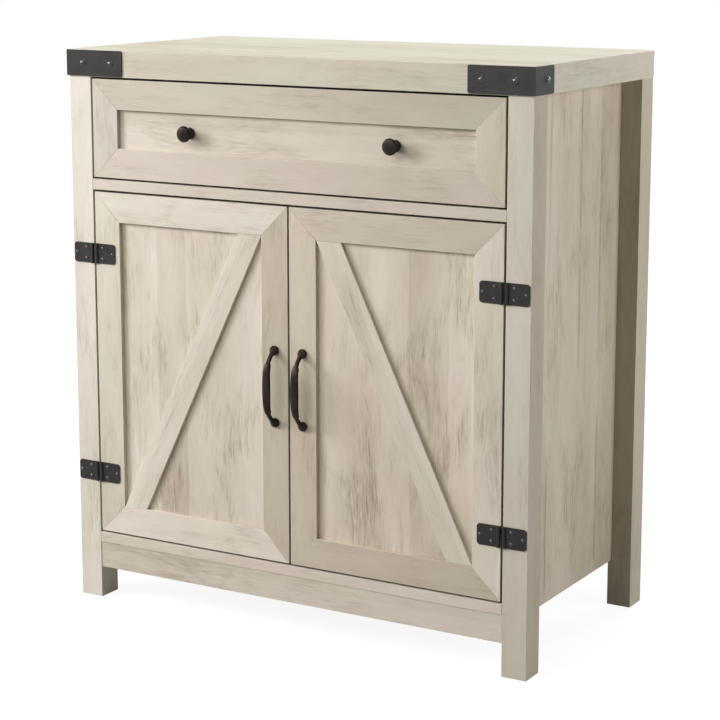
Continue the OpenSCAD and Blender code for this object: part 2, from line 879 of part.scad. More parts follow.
module frame_panel(w, h) {
  g = frame_w - groove_d + groove_slack;
  box([g, recess, g], [w - g, recess + panel_t, h - g]);
}

module drawer_at() { translate([-drawer_w / 2, 0, drawer_z0]) children(); }

module drawer_front_panel() {
  color(oak) at_front() difference() {
    drawer_at() frame_panel(drawer_w, drawer_h);
    knob_screws(slip);
  }
}

module drawer_front_stiles() { color(oak) at_front() drawer_at() frame_stiles(drawer_w, drawer_h); }
module drawer_front_rails() { color(oak) at_front() drawer_at() frame_rails(drawer_w, drawer_h); }

// ---------------------------------------------------------------- drawer box

// A board that reaches g into the sides and ends of the box, grow thicker on each face
module bottom_board(g, grow) {
  z = box_z0 + drawer_bottom_lift;
  box([-box_x0 - g, front_t + box_t - g, z - grow],
      [box_x0 + g, front_t + box_len - box_t + g, z + drawer_bottom_t + grow]);
}

module bottom_groove() { bottom_board(box_groove_d, groove_slip); }

module drawer_bottom() { color(hardboard) at_front() bottom_board(box_groove_d - groove_slack, 0); }

module drawer_sides() {
  color(inside_oak) at_front() difference() {
    both_sides() box([box_x0, front_t, box_z0], [box_x1, front_t + box_len, box_z0 + box_h]);
    bottom_groove();
    box_screws(slip);
  }
}

module drawer_box_ends() {
  color(inside_oak) at_front() difference() {
    for (y = [front_t, front_t + box_len - box_t])
      box([-box_x0, y, box_z0], [box_x0, y + box_t, box_z0 + box_h]);
    bottom_groove();
    box_screws(slip);
    knob_screws(slip);
  }
}

// A turned knob: base, waist and a flat-faced head, standing on the drawer panel
module knob() {
  h = knob_out;
  rotate_extrude() polygon(concat(
    [[0, 0], [8.3, 0], [8.3, 2.2], [7.6, 3.2], [5.8, 4]],
    [for (t = [0:0.25:1]) [5.2 + 2.2 * pow(t, 3), 5 + (h - 12.5) * t]],
    [[knob_r - 1.2, h - 6.6], [knob_r, h - 5.4], [knob_r, h - 3.4], [knob_r - 1.8, h - 1.2],
     [knob_r - 3.4, h - 0.6], [0, h]]));
}

module drawer_knobs() {
  color(bronze) at_front() for (s = [-1, 1])
    translate([s * knob_x, recess, drawer_z0 + drawer_h / 2]) rotate([90, 0, 0]) knob();
}

module drawer_screws() {
  color(zinc) at_front() {
    knob_screws();
    box_screws();
  }
}

// ---------------------------------------------------------------- door pulls

pull_sides = 16;
pull_steps = 56;
pull_grip_w = 6.7;         // half the width of the grip
pull_grip_d = 3.8;         // half its depth
pull_neck_r = 3.2;
pull_foot_r = 6.8;
pull_foot_h = 3;           // height of the straight part of a foot
pull_foot_taper = 6.5;     // and of the part that narrows to the neck
pull_shoulder = 36;        // where the grip ends, either side of the middle
pull_rise = pull_out - pull_grip_d - pull_foot_h;

// The pull's centre line is a flattened arch on two straight feet, as a distance along the
// door and a distance out from it; a runs from 0 at one foot to 180 at the other
function pull_arch(a) = [
  -cos(a) * pull_span / 2,
  pull_foot_h + pull_rise * pow(1 - pow(cos(a), 4), 1.1)
];
function ease(t) = let (c = min(1, max(0, t))) c * c * (3 - 2 * c);
function unit(v) = v / norm(v);

// Half width and half depth at a distance out from the door and a height from the middle
function pull_size(out, up) =
  let (
    foot = 1 - ease((out - pull_foot_h) / pull_foot_taper),
    grip = ease((pull_shoulder + 1.5 - abs(up)) / 3),
    swell = 0.75 + 0.25 * cos(90 * min(1, abs(up) / pull_shoulder))
  ) [
    pull_neck_r + (pull_foot_r - pull_neck_r) * foot + (pull_grip_w * swell - pull_neck_r) * grip,
    pull_neck_r + (pull_foot_r - pull_neck_r) * foot + (pull_grip_d - pull_neck_r) * grip
  ];

// A ring about p, square to the direction t
function pull_ring(p, t) =
  let (n = [-t[1], t[0]], r = pull_size(p[1], p[0]))
  [for (i = [0:pull_sides - 1]) let (b = 360 * i / pull_sides)
    [r[0] * cos(b), -p[1] - r[1] * sin(b) * n[1], p[0] + r[1] * sin(b) * n[0]]];

// The rings lie flat in the feet and turn square to the centre line where these narrow
function pull_arch_ring(a) =
  let (
    p = pull_arch(a),
    lean = ease((p[1] - pull_foot_h) / pull_foot_taper),
    along = unit(pull_arch(min(180, a + 0.5)) - pull_arch(max(0, a - 0.5)))
  ) pull_ring(p, unit(lean * along + (1 - lean) * [0, sign(cos(a))]));

module pull() {
  rings = concat(
    [pull_ring([-pull_span / 2, 0], [0, 1])],
    [for (k = [0:pull_steps]) pull_arch_ring(180 * k / pull_steps)],
    [pull_ring([pull_span / 2, 0], [0, -1])]);
  n = pull_sides;
  last = len(rings) - 1;
  polyhedron(
    points = [for (ring = rings, p = ring) p],
    faces = concat(
      [[for (i = [n - 1:-1:0]) i]],
      [for (k = [0:last - 1], i = [0:n - 1])
        let (a = k * n + i, b = k * n + (i + 1) % n) [a, b, b + n, a + n]],
      [[for (i = [0:n - 1]) last * n + i]]),
    convexity = 6);
}

// ---------------------------------------------------------------- doors

// Bores for the hinge cups, from the back of the door
module cup_bores() {
  at_hinges() translate([0, front_t - pin_back + eps, 0]) rotate([90, 0, 0])
    cylinder(r = cup_r + slip, h = cup_depth + eps);
}

module door_panel() {
  difference() {
    frame_panel(door_w, door_h);
    cup_bores();
  }
}

module door_stiles() {
  difference() {
    frame_stiles(door_w, door_h);
    cup_bores();
    cup_screws(slip);
    pull_screws(slip);
    door_leaf_tacks(slip);
    strike_screw(slip);
  }
}

module door_rails() {
  difference() {
    frame_rails(door_w, door_h);
    strike_screw(slip);
  }
}

module door_brace() {
  f = frame_w;
  translate([0, brace_set, 0]) prism_y(recess - brace_set)
    polygon([[f, f], [f + brace_w, f], [door_w - f, door_h - f], [door_w - f - brace_w, door_h - f]]);
}

module door_pull() { translate([door_w - frame_w / 2, 0, door_mid + pull_off]) pull(); }

module strike_plate() {
  difference() {
    box([door_w - frame_w / 2 - strike_in, front_t, door_h - catch_h],
        [door_w - strike_in, front_t + strike_t, door_h - 1]);
    strike_screw(slip);
  }
}

module door_screws() {
  cup_screws();
  pull_screws();
  strike_screw();
}

module left_door_panel() { color(oak) at_front() on_left() door_panel(); }
module left_door_stiles() { color(oak) at_front() on_left() door_stiles(); }
module left_door_rails() { color(oak) at_front() on_left() door_rails(); }
module left_door_brace() { color(oak) at_front() on_left() door_brace(); }
module left_pull() { color(bronze) at_front() on_left() door_pull(); }
module left_door_hinge_leaves() { color(iron) at_front() on_left() door_leaves(); }
module left_door_tacks() { color(iron) at_front() on_left() door_leaf_tacks(); }
module left_hinge_cups() { color(zinc) at_front() on_left() hinge_cups(); }
module left_hinge_pins() { color(zinc) at_front() on_left() hinge_pins(); }
module left_door_screws() { color(zinc) at_front() on_left() door_screws(); }
module left_strike_plate() { color(zinc) at_front() on_left() strike_plate(); }

module right_door_panel() { color(oak) at_front() on_right() door_panel(); }
module right_door_stiles() { color(oak) at_front() on_right() door_stiles(); }
module right_door_rails() { color(oak) at_front() on_right() door_rails(); }
module right_door_brace() { color(oak) at_front() on_right() door_brace(); }
module right_pull() { color(bronze) at_front() on_right() door_pull(); }
module right_door_hinge_leaves() { color(iron) at_front() on_right() door_leaves(); }
module right_door_tacks() { color(iron) at_front() on_right() door_leaf_tacks(); }
module right_hinge_cups() { color(zinc) at_front() on_right() hinge_cups(); }
module right_hinge_pins() { color(zinc) at_front() on_right() hinge_pins(); }
module right_door_screws() { color(zinc) at_front() on_right() door_screws(); }
module right_strike_plate() { color(zinc) at_front() on_right() strike_plate(); }

top_panel();
front_left_leg();
front_right_leg();
rear_left_leg();
rear_right_leg();
left_side_panel();
right_side_panel();
divider_panel();
bottom_panel();
front_apron();
back_rail();
back_panel();
back_panel_nails();
shelf();
shelf_pins();
corner_brackets();
leg_hinge_leaves();
carcass_tacks();
hinge_arms();
hinge_mounting_plates();
carcass_screws();
cam_bolts();
cam_locks();
dowels();
magnetic_catch();
cabinet_runners();
middle_runners();
outer_ball_cages();
inner_ball_cages();
drawer_runners();
drawer_front_panel();
drawer_front_stiles();
drawer_front_rails();
drawer_box_ends();
drawer_sides();
drawer_bottom();
drawer_knobs();
drawer_screws();
left_door_panel();
left_door_stiles();
left_door_rails();
left_door_brace();
left_pull();
left_door_hinge_leaves();
left_door_tacks();
left_hinge_cups();
left_hinge_pins();
left_door_screws();
left_strike_plate();
right_door_panel();
right_door_stiles();
right_door_rails();
right_door_brace();
right_pull();
right_door_hinge_leaves();
right_door_tacks();
right_hinge_cups();
right_hinge_pins();
right_door_screws();
right_strike_plate();
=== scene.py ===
import json
import math
import bmesh
import bpy
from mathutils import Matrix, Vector


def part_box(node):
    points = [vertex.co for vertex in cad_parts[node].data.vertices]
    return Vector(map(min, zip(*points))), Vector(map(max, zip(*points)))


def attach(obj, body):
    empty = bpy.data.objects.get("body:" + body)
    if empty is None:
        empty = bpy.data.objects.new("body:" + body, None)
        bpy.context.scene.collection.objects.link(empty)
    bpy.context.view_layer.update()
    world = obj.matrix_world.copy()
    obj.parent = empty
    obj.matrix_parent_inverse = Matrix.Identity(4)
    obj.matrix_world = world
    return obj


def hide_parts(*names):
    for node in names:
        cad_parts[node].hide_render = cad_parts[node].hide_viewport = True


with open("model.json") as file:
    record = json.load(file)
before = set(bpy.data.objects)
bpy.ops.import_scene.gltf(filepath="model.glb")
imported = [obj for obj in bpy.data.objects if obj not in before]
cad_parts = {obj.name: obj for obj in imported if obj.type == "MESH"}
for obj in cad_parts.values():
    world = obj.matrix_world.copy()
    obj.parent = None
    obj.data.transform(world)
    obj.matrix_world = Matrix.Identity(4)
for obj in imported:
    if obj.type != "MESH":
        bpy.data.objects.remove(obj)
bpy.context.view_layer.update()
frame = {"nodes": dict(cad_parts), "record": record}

# Sideboard buffet.  Every visible CAD node is replaced by a copy of its own mesh with eased
# edges and a node-based finish.  Lengths are in metres, +Z is up and the doors face -Y.

# ------------------------------------------------------------------ shader nodes


def feed(tree, socket, value):
    """Links a socket to the output it is fed from, or sets its own value."""
    if isinstance(value, bpy.types.NodeSocket):
        tree.links.new(value, socket)
    else:
        socket.default_value = value


def add_node(tree, kind, inputs, **settings):
    """Adds a shader node.  inputs maps the name or number of an input to a value or to the
    output that feeds it, and settings are properties of the node."""
    node = tree.nodes.new("ShaderNode" + kind)
    for key, value in settings.items():
        setattr(node, key, value)
    for key, value in inputs.items():
        feed(tree, node.inputs[key], value)
    return node


# ------------------------------------------------------------------ camera and studio

# The camera looks down a little at the front and the right side
CAMERA_PLACE = (1.5403, -2.6166, 1.0192)
CAMERA_AZIMUTH = math.radians(30.35)
CAMERA_PITCH = math.radians(10.39)
CAMERA_SHIFT_Y = -0.08
# The focal length and the sensor's width, in millimetres
CAMERA_LENS = 103.3
CAMERA_SENSOR = 36.0

WHITE = (1, 1, 1, 1)
# The point that every lamp faces
LAMP_AIM = (0, -0.1, 0.45)
# The strength of the world's light on the object
WORLD_LIGHT = 0.03

# Half the floor's width
FLOOR_REACH = 12.0
# The floor's colour for the light that it throws back onto the object
FLOOR_BOUNCE = (0.38, 0.37, 0.34, 1)
# How much of the lamps' light shows on the white floor, for a shadow to take away
FLOOR_SHADOW = 0.16
# How much less the floor glows near the object, because of that light
FLOOR_DIP = 0.6 * FLOOR_SHADOW
# The dip is whole as far out as this and gone at twice as far
SHADOW_REACH = 0.8


def make_camera():
    data = bpy.data.cameras.new("camera")
    data.lens = CAMERA_LENS
    data.sensor_width = CAMERA_SENSOR
    data.shift_y = CAMERA_SHIFT_Y
    camera = bpy.data.objects.new("camera", data)
    camera.location = CAMERA_PLACE
    camera.rotation_euler = (math.pi / 2 - CAMERA_PITCH, 0, CAMERA_AZIMUTH)
    bpy.context.scene.collection.objects.link(camera)
    bpy.context.scene.camera = camera


def softbox(name, place, size, watts, colour=(1, 1, 1)):
    """A rectangular studio lamp at a place, turned to face the object."""
    data = bpy.data.lights.new(name, "AREA")
    data.shape = "RECTANGLE"
    data.size, data.size_y = size
    data.energy = watts
    data.color = colour
    light = bpy.data.objects.new(name, data)
    light.location = place
    light.rotation_mode = "QUATERNION"
    light.rotation_quaternion = (Vector(LAMP_AIM) - Vector(place)).to_track_quat("-Z", "Y")
    bpy.context.scene.collection.objects.link(light)


def make_lights():
    """A strong key from the left, and fills from the front, above, the right and behind."""
    softbox("key", (-2.52, -1.67, 1.63), size=(1.1, 1.1), watts=78, colour=(0.95, 0.95, 1.0))
    softbox("front_fill", (-0.9, -2.6, 2.0), size=(2.2, 1.8), watts=43, colour=(1.0, 0.99, 0.95))
    softbox("overhead", (0, -0.2, 2.8), size=(1.8, 1.8), watts=16, colour=(1.0, 1.0, 0.96))
    softbox("side_fill", (1.75, 0.3, 0.9), size=(0.8, 0.8), watts=11.5, colour=(1.0, 0.975, 0.95))
    softbox("back_fill", (0.4, 2.8, 1.5), size=(1.4, 1.0), watts=44)


def by_ray(tree, light, background):
    """The first shader for the rays that carry light to the object, and the second where the
    camera, a reflection or a clear material looks at the background."""
    rays = add_node(tree, "LightPath", {}).outputs
    seen = rays["Is Camera Ray"]
    for ray in ("Is Glossy Ray", "Is Transmission Ray"):
        seen = add_node(tree, "Math", {0: seen, 1: rays[ray]}, operation="MAXIMUM").outputs[0]
    mix = add_node(tree, "MixShader", {0: seen, 1: light.outputs[0], 2: background.outputs[0]})
    return mix.outputs[0]


def make_world():
    """White as a background, and a plain level of light on the object."""
    world = bpy.data.worlds.new("studio")
    bpy.context.scene.world = world
    world.use_nodes = True
    tree = world.node_tree
    tree.nodes.clear()
    light = add_node(tree, "Background", {"Color": WHITE, "Strength": WORLD_LIGHT})
    white = add_node(tree, "Background", {"Color": WHITE, "Strength": 1.0})
    add_node(tree, "OutputWorld", {"Surface": by_ray(tree, light, white)})


def floor_material():
    """A pale floor that meets the white background and keeps the object's soft shadow."""
    material = bpy.data.materials.new("studio_floor")
    material.use_nodes = True
    tree = material.node_tree
    tree.nodes.clear()
    place = add_node(tree, "TexCoord", {}).outputs["Object"]
    away = add_node(tree, "VectorMath", {0: place}, operation="LENGTH").outputs["Value"]
    reach = {"From Min": SHADOW_REACH, "From Max": 2 * SHADOW_REACH, "To Min": 1.0 - FLOOR_DIP}
    fade = add_node(tree, "MapRange", {"Value": away, **reach}).outputs["Result"]
    bounce = add_node(tree, "BsdfDiffuse", {"Color": FLOOR_BOUNCE})
    shade = add_node(tree, "BsdfDiffuse", {"Color": (FLOOR_SHADOW, FLOOR_SHADOW, FLOOR_SHADOW, 1)})
    glow = add_node(tree, "Emission", {"Strength": fade})
    both = add_node(tree, "AddShader", {0: shade.outputs[0], 1: glow.outputs[0]})
    add_node(tree, "OutputMaterial", {"Surface": by_ray(tree, bounce, both)})
    return material


def make_floor():
    mesh = bpy.data.meshes.new("studio_floor")
    r = FLOOR_REACH
    mesh.from_pydata([(-r, -r, 0), (r, -r, 0), (r, r, 0), (-r, r, 0)], [], [(0, 1, 2, 3)])
    mesh.materials.append(floor_material())
    floor = bpy.data.objects.new("studio_floor", mesh)
    bpy.context.scene.collection.objects.link(floor)


# ------------------------------------------------------------------ finishes


class Finish:
    """A material, and short calls that each add a node to it.  A value may be a number or the
    output of another node."""

    def __init__(self, name):
        self.material = bpy.data.materials.new(name)
        self.material.use_nodes = True
        self.tree = self.material.node_tree
        self.shader = self.tree.nodes["Principled BSDF"]
        self.place = self.add("TexCoord", {}).outputs["Object"]

    def add(self, kind, inputs, **settings):
        """Adds a node as add_node does."""
        return add_node(self.tree, kind, inputs, **settings)

    def set(self, **values):
        """Sets inputs of the shader: base_color=... is its socket Base Color."""
        for key, value in values.items():
            words = key.replace("_", " ").title().replace("Ior", "IOR")
            feed(self.tree, self.shader.inputs[words], value)

    def plus(self, a, b):
        return self.add("Math", {0: a, 1: b}, operation="ADD").outputs[0]

    def times(self, a, b):
        return self.add("Math", {0: a, 1: b}, operation="MULTIPLY").outputs[0]

    def centred(self, value):
        """A value of 0 to 1, moved to lie about 0."""
        return self.add("Math", {0: value, 1: 0.5}, operation="SUBTRACT").outputs[0]

    def stretch(self, vector, by, offset=(0, 0, 0)):
        """vector * by + offset, axis by axis."""
        node = self.add("VectorMath", {0: vector, 1: by, 2: offset}, operation="MULTIPLY_ADD")
        return node.outputs[0]

    def noise(self, vector, detail, roughness, distortion):
        """Cloudy noise with one grain to each unit of the vector."""
        shape = {"Detail": detail, "Roughness": roughness, "Distortion": distortion}
        return self.add("TexNoise", {"Vector": vector, "Scale": 1.0, **shape}).outputs["Fac"]

    def grains(self, scale, detail, roughness, distortion=0.0):
        """Noise with so many grains to the metre along each axis."""
        return self.noise(self.stretch(self.place, scale), detail, roughness, distortion)

    def band(self, value, low, high, to_low=0.0, to_high=1.0):
        """Spreads low..high over to_low..to_high and holds the ends."""
        limits = {"From Min": low, "From Max": high, "To Min": to_low, "To Max": to_high}
        return self.add("MapRange", {"Value": value, **limits}).outputs["Result"]

    def ramp(self, value, stops):
        """The colour at a value, between stops of a place and a colour."""
        node = self.add("ValToRGB", {"Fac": value})
        while len(node.color_ramp.elements) < len(stops):
            node.color_ramp.elements.new(0.5)
        for element, (place, colour) in zip(node.color_ramp.elements, stops):
            element.position = place
            element.color = (*colour, 1)
        return node.outputs["Color"]

    def multiplied(self, colour, by):
        """One colour times another.  6, 7 and 2 are the numbers of the node's colour sockets."""
        inputs = {0: 1.0, 6: colour, 7: by}
        return self.add("Mix", inputs, data_type="RGBA", blend_type="MULTIPLY").outputs[2]

    def bump(self, height, depth, strength):
        """A relief of so many metres, for the shader's normal."""
        inputs = {"Strength": strength, "Distance": depth, "Height": height}
        return self.add("Bump", inputs).outputs["Normal"]

    def turned(self, angle_y):
        """The object's coordinates turned about Y."""
        inputs = {"Rotation": (0, angle_y, 0), "Vector": self.place}
        return self.add("Mapping", inputs).outputs["Vector"]

    def shifted(self, vector, axis, amount):
        """vector with amount added along one axis."""
        shove = self.add("CombineXYZ", {axis: amount}).outputs[0]
        return self.add("VectorMath", {0: vector, 1: shove}, operation="ADD").outputs[0]

    def reordered(self, vector, order):
        """The axes named in order, such as "zxy", as first, second and third, and the second
        of them by itself."""
        parts = self.add("SeparateXYZ", {0: vector}).outputs
        axes = [parts["xyz".index(axis)] for axis in order]
        return self.add("CombineXYZ", dict(enumerate(axes))).outputs[0], axes[1]

    def stripes(self, place, width):
        """Stripes of about a width along a line: the tone of each, and how far a point is from
        the edge between two."""
        inputs = {"W": place, "Scale": 1 / width}
        tones = self.add("TexVoronoi", inputs, voronoi_dimensions="1D", feature="F1")
        edges = self.add("TexVoronoi", inputs, voronoi_dimensions="1D", feature="DISTANCE_TO_EDGE")
        return tones.outputs["Color"], edges.outputs["Distance"]

    def spots(self, place):
        """Spots in space: the tone of each, and how far a point is from its middle."""
        inputs = {"Vector": place, "Scale": 1.0}
        outputs = self.add("TexVoronoi", inputs, voronoi_dimensions="3D", feature="F1").outputs
        return outputs["Color"], outputs["Distance"]


# Tones of the printed oak, from the darkest streaks to the palest bands
OAK_TONES = (
    (0.00, (0.300, 0.245, 0.180)),
    (0.30, (0.465, 0.400, 0.312)),
    (0.55, (0.600, 0.540, 0.440)),
    (0.78, (0.690, 0.635, 0.535)),
    (1.00, (0.780, 0.740, 0.655)),
)
# The hues that a board drifts between
GREENISH = (0.985, 1.008, 0.972)
PINKISH = (1.020, 0.991, 1.004)
# The oak's patterns: grains to the metre along and across the grain, and the noise's detail,
# roughness and distortion
OAK_PATTERNS = {
    "wander": (3, 8, 2, 0.5, 0.0),
    "cloud": (1.9, 9.5, 2, 0.5, 0.0),
    "drift": (6, 15, 2, 0.5, 0.0),
    "breaks": (7, 9, 2, 0.5, 0.0),
    "smoke": (7, 21, 4, 0.6, 0.5),
    "mottle": (17, 52, 3, 0.6, 0.4),
    "streaks": (11, 150, 3, 0.65, 0.0),
    "dashes": (26, 290, 2, 0.6, 0.0),
    "fibres": (42, 430, 2, 0.6, 0.0),
}
# The tone of plain wood, and how much each part of the figure adds to it
OAK_MIDDLE = 0.64
CLOUD_WEIGHT = 0.80
OAK_WEIGHTS = {
    "plank": 0.20,
    "patch": -0.15,
    "mottle": 0.20,
    "dashes": -0.22,
    "streaks": 0.60,
    "fibres": 0.85,
}
# Spots to the metre along, across and through the grain, and the tones from which a spot
# begins to have a crack and has a whole one
CRACK_SPOTS = (11, 60, 60)
CRACKED_TONES = (0.80, 0.82)
# A crack's pale body and its dark flank: how far each is moved aside, and its weight
CRACK_FLANKS = ((0.0, 0.26), (0.05, -0.22))
# How far one step of the seed moves the pattern along, across and through the grain, and how
# far it moves the planks
SEED_STEP = (1.37, 0.61, 0.29)
PLANK_STEP = 0.37
# How far the grain wanders sideways, and the share of it that the planks follow
WANDER = 0.03
PLANK_WANDER = 0.2
# The share of the fine figure that is left between the smoky patches
FIGURE_BETWEEN = 0.2


def oak(name, order, seed, tint, strong, plank=0.065, joint=0.0, turn=0.0):
    """Matte printed oak.  order names the axes along, across and through the grain.  seed picks
    the stretch of figure that a board shows, strong is how far its tones spread, plank the usual
    width of a printed plank, joint how dark the line between two planks is, and turn the angle
    about Y that brings a leaning grain upright."""
    f = Finish(name)
    grain, across = f.reordered(f.turned(turn) if turn else f.place, order)
    offset = tuple(step * seed for step in SEED_STEP)

    def pattern(kind, vector):
        """The seed's stretch of one of the patterns."""
        along, sideways, *shape = OAK_PATTERNS[kind]
        return f.noise(f.stretch(vector, (along, sideways, sideways), offset), *shape)

    bend = f.times(f.centred(pattern("wander", grain)), WANDER)
    lines = f.shifted(grain, 1, bend)

    # Printed planks of unequal width, each a little paler or darker, with a broken line between
    place = f.plus(f.times(bend, PLANK_WANDER), f.plus(across, seed * PLANK_STEP))
    plank_tone, from_edge = f.stripes(place, plank)
    seam = f.band(from_edge, 0.0, 0.06, 1, 0)
    unbroken = f.band(pattern("breaks", lines), 0.44, 0.60)

    # Smoky patches carry most of the figure, and the wood between them is nearly plain
    patch = f.band(pattern("smoke", lines), 0.47, 0.66)
    figure = f.plus(f.times(patch, 1.0 - FIGURE_BETWEEN), FIGURE_BETWEEN)
    dashes = f.band(pattern("dashes", lines), 0.58, 0.70)
    streaks = f.centred(pattern("streaks", lines))
    fibres = pattern("fibres", lines)
    parts = {
        "plank": f.centred(plank_tone),
        "patch": patch,
        "mottle": f.centred(pattern("mottle", lines)),
        "dashes": f.times(dashes, figure),
        "streaks": f.times(streaks, figure),
        "fibres": f.times(f.centred(fibres), figure),
    }
    cloud = f.centred(pattern("cloud", lines))
    tone = f.plus(f.times(cloud, CLOUD_WEIGHT * strong), OAK_MIDDLE)
    for part, value in parts.items():
        tone = f.plus(tone, f.times(value, OAK_WEIGHTS[part] * strong))
    tone = f.plus(tone, f.times(f.times(seam, unbroken), -joint))

    # Short cracks along the grain, in about a fifth of the spots
    for aside, weight in CRACK_FLANKS:
        moved = (offset[0], offset[1] + aside, offset[2])
        spot_tone, from_middle = f.spots(f.stretch(lines, CRACK_SPOTS, moved))
        crack = f.times(f.band(from_middle, 0.04, 0.12, 1, 0), f.band(spot_tone, *CRACKED_TONES))
        tone = f.plus(tone, f.times(f.times(crack, figure), weight * strong))

    stops = [(p, tuple(c * t for c, t in zip(colour, tint))) for p, colour in OAK_TONES]
    hue = f.ramp(pattern("drift", lines), ((0.35, GREENISH), (0.65, PINKISH)))
    f.set(
        base_color=f.multiplied(f.ramp(tone, stops), hue),
        roughness=f.band(fibres, 0.35, 0.65, 0.58, 0.46),
        normal=f.bump(f.plus(fibres, streaks), 0.00012, 0.5),
    )
    return f.material


def oak_arris(name):
    """The eased corners of a board, made a little paler than its faces as a painted highlight."""
    f = Finish(name)
    # Painted highlight: noise mottles the arris between a dull and a pale tone
    wear_and_highlight = f.grains((25, 25, 25), 4, 0.6)
    dull = (0.56, 0.50, 0.41)
    pale = (0.72, 0.67, 0.57)
    f.set(
        base_color=f.ramp(wear_and_highlight, ((0.35, dull), (0.65, pale))),
        roughness=f.band(wear_and_highlight, 0.35, 0.65, 0.55, 0.44),
    )
    return f.material


# The darkest and the palest tone of black iron, as shares of its grey
IRON_DARK = (0.82, 0.74, 0.70)
IRON_PALE = (1.28, 1.15, 1.10)


def iron(name, grey, rough=(0.38, 0.52), shine=0.25):
    """Black powder coat with a fine peel, near the given grey."""
    f = Finish(name)
    mottle = f.grains((60, 60, 60), 3, 0.6)
    peel = f.grains((900, 900, 900), 2, 0.5)
    dark = tuple(grey * share for share in IRON_DARK)
    pale = tuple(grey * share for share in IRON_PALE)
    f.set(
        base_color=f.ramp(mottle, ((0.3, dark), (0.7, pale))),
        roughness=f.band(mottle, 0.35, 0.65, *rough),
        specular_ior_level=shine,
        normal=f.bump(peel, 0.00006, 0.6),
    )
    return f.material


def bronze(name):
    """Dark oil-rubbed bronze, a little redder where it is rubbed."""
    f = Finish(name)
    wear_and_highlight = f.grains((70, 70, 34), 4, 0.6)
    peel = f.grains((700, 700, 700), 2, 0.5)
    dark = (0.018, 0.014, 0.012)
    brown = (0.036, 0.027, 0.021)
    worn = (0.080, 0.052, 0.036)
    f.set(
        base_color=f.ramp(wear_and_highlight, ((0.35, dark), (0.62, brown), (0.75, worn))),
        metallic=1.0,
        roughness=f.band(wear_and_highlight, 0.35, 0.7, 0.34, 0.46),
        normal=f.bump(peel, 0.00005, 0.5),
    )
    return f.material


def zinc(name):
    """Zinc-plated steel with a faint spangle and rolling marks."""
    f = Finish(name)
    spangle = f.grains((220, 220, 220), 2, 0.5)
    rolled = f.grains((900, 6, 900), 2, 0.6)
    grey = (0.50, 0.51, 0.53)
    pale = (0.66, 0.67, 0.68)
    f.set(
        base_color=f.ramp(spangle, ((0.3, grey), (0.7, pale))),
        metallic=1.0,
        roughness=f.band(rolled, 0.3, 0.7, 0.26, 0.42),
        normal=f.bump(rolled, 0.00003, 0.4),
    )
    return f.material


def hardboard(name):
    """Brown pressed fibre with darker and paler strands."""
    f = Finish(name)
    cloud = f.grains((7, 7, 7), 4, 0.6)
    strands = f.grains((330, 330, 210), 3, 0.7, 1.2)
    tone = f.plus(f.times(cloud, 0.45), f.times(strands, 0.55))
    deep = (0.185, 0.108, 0.055)
    brown = (0.290, 0.185, 0.105)
    pale = (0.400, 0.280, 0.175)
    f.set(
        base_color=f.ramp(tone, ((0.30, deep), (0.50, brown), (0.70, pale))),
        roughness=f.band(strands, 0.3, 0.7, 0.62, 0.82),
        normal=f.bump(strands, 0.00012, 0.7),
    )
    return f.material


def nylon(name):
    """Off-white moulded nylon."""
    f = Finish(name)
    cloud = f.grains((90, 90, 90), 3, 0.6)
    dull = (0.66, 0.64, 0.58)
    pale = (0.74, 0.72, 0.66)
    f.set(
        base_color=f.ramp(cloud, ((0.3, dull), (0.7, pale))),
        roughness=f.band(cloud, 0.3, 0.7, 0.38, 0.50),
        normal=f.bump(cloud, 0.00004, 0.4),
    )
    return f.material


# ------------------------------------------------------------------ pieces

BODIES = frame["record"]["behaviour"]["bodies"]
SLOTS = {part["node"]: part["material_slot"] for part in frame["record"]["subparts"]}
BODY_OF = {node: body for body, nodes in BODIES.items() for node in nodes}

# Corners sharper than SHARP are eased, and faces that meet at more than CREASE aren't blended
SHARP = math.radians(30)
CREASE = math.radians(50)
# Faces that meet at less than this count as one flat face
FLAT = math.radians(0.5)
# Points nearer than this are one point
WELD = 2e-6
# How wide the eased corners are.  Thin sheets and metal have the smallest.
TOP_EASE = 0.0010
BOARD_EASE = 0.0008
FRAME_EASE = 0.0005
THIN_EASE = 0.0003
# Corners shorter than this stay sharp, on wood and on metal plates
SHORT_ARRIS = 0.012
SHORT_METAL_ARRIS = 0.008
# A face looks along an axis where its normal's part along it is more than this
FACING = 0.7
# A face lies on the rim of a frame where it is within this of it
ON_RIM = 0.0001


def clean_copy(node):
    """The node's own mesh, welded and with its flat faces joined."""
    bm = bmesh.new()
    bm.from_mesh(frame["nodes"][node].data)
    bmesh.ops.remove_doubles(bm, verts=bm.verts, dist=WELD)
    bmesh.ops.dissolve_limit(
        bm, angle_limit=FLAT, verts=bm.verts, edges=bm.edges, delimit={"NORMAL"}
    )
    for face in bm.faces:
        face.material_index = 0
    return bm


def long_arrises(bm, least):
    """The outer corners between faces, leaving out the short steps of round holes."""
    return [
        edge
        for edge in bm.edges
        if len(edge.link_faces) == 2
        and edge.is_convex
        and edge.calc_face_angle() > SHARP
        and edge.calc_length() > least
    ]


def finish_piece(bm, node, materials):
    """Turns a mesh into the piece that stands for a node."""
    mesh = bpy.data.meshes.new(node + "_look")
    bm.to_mesh(mesh)
    bm.free()
    for material in materials:
        mesh.materials.append(material)
    for polygon in mesh.polygons:
        polygon.use_smooth = True
    mesh.set_sharp_from_angle(angle=CREASE)
    piece = bpy.data.objects.new(node + "_look", mesh)
    bpy.context.scene.collection.objects.link(piece)
    flat = piece.modifiers.new("flat_faces", "WEIGHTED_NORMAL")
    flat.keep_sharp = True
    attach(piece, BODY_OF[node])
    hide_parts(node)


